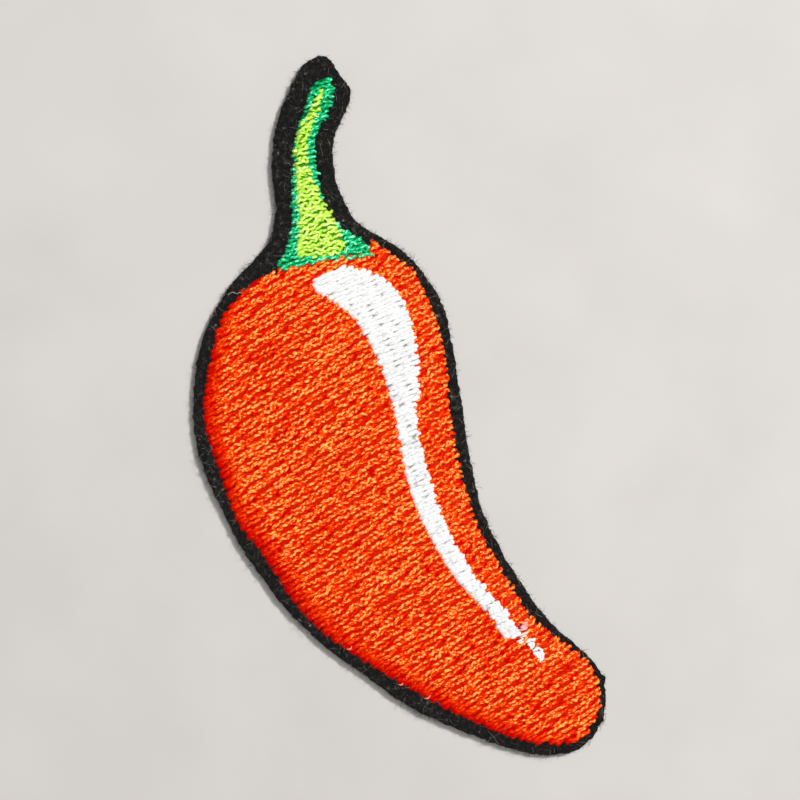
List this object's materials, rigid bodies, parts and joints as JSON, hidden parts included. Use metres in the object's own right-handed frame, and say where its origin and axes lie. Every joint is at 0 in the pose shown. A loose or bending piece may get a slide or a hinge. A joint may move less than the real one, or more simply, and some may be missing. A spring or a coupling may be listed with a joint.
{
  "type": "embroidered patch",
  "caption": "Flat embroidered felt patch shaped like a curved chili pepper, with dense red thread fill, a white highlight stripe and a two-tone green stem.",
  "frame": {"origin": "under the middle of the patch's bounding box, in the plane of its back", "axes": "+Z out of the stitched front; +Y the long way, from the fruit's tip towards its stem; +X across, towards the side that the tip bends to"},
  "size_m": [0.0476, 0.0803, 0.0027],
  "materials": {
    "film": "thin translucent heat-seal film, satin",
    "felt": "matte black felt with loose fibres",
    "bobbin_thread": "off-white polyester bobbin thread",
    "red_thread": "glossy orange-red polyester embroidery thread",
    "white_thread": "glossy white polyester embroidery thread",
    "emerald_thread": "glossy emerald polyester embroidery thread",
    "lime_thread": "glossy lime polyester embroidery thread"
  },
  "bodies": {
    "root": {"backing_film": "film", "felt_base": "felt", "bobbin_stitches_body": "bobbin_thread", "bobbin_stitches_stem": "bobbin_thread", "body_fill_stitches": "red_thread", "highlight_stitches": "white_thread", "highlight_end_stitch_1": "white_thread", "highlight_end_stitch_2": "white_thread", "highlight_end_stitch_3": "white_thread", "stem_edge_stitches": "emerald_thread", "stem_core_stitches": "lime_thread"}
  },
  "joints": []
}
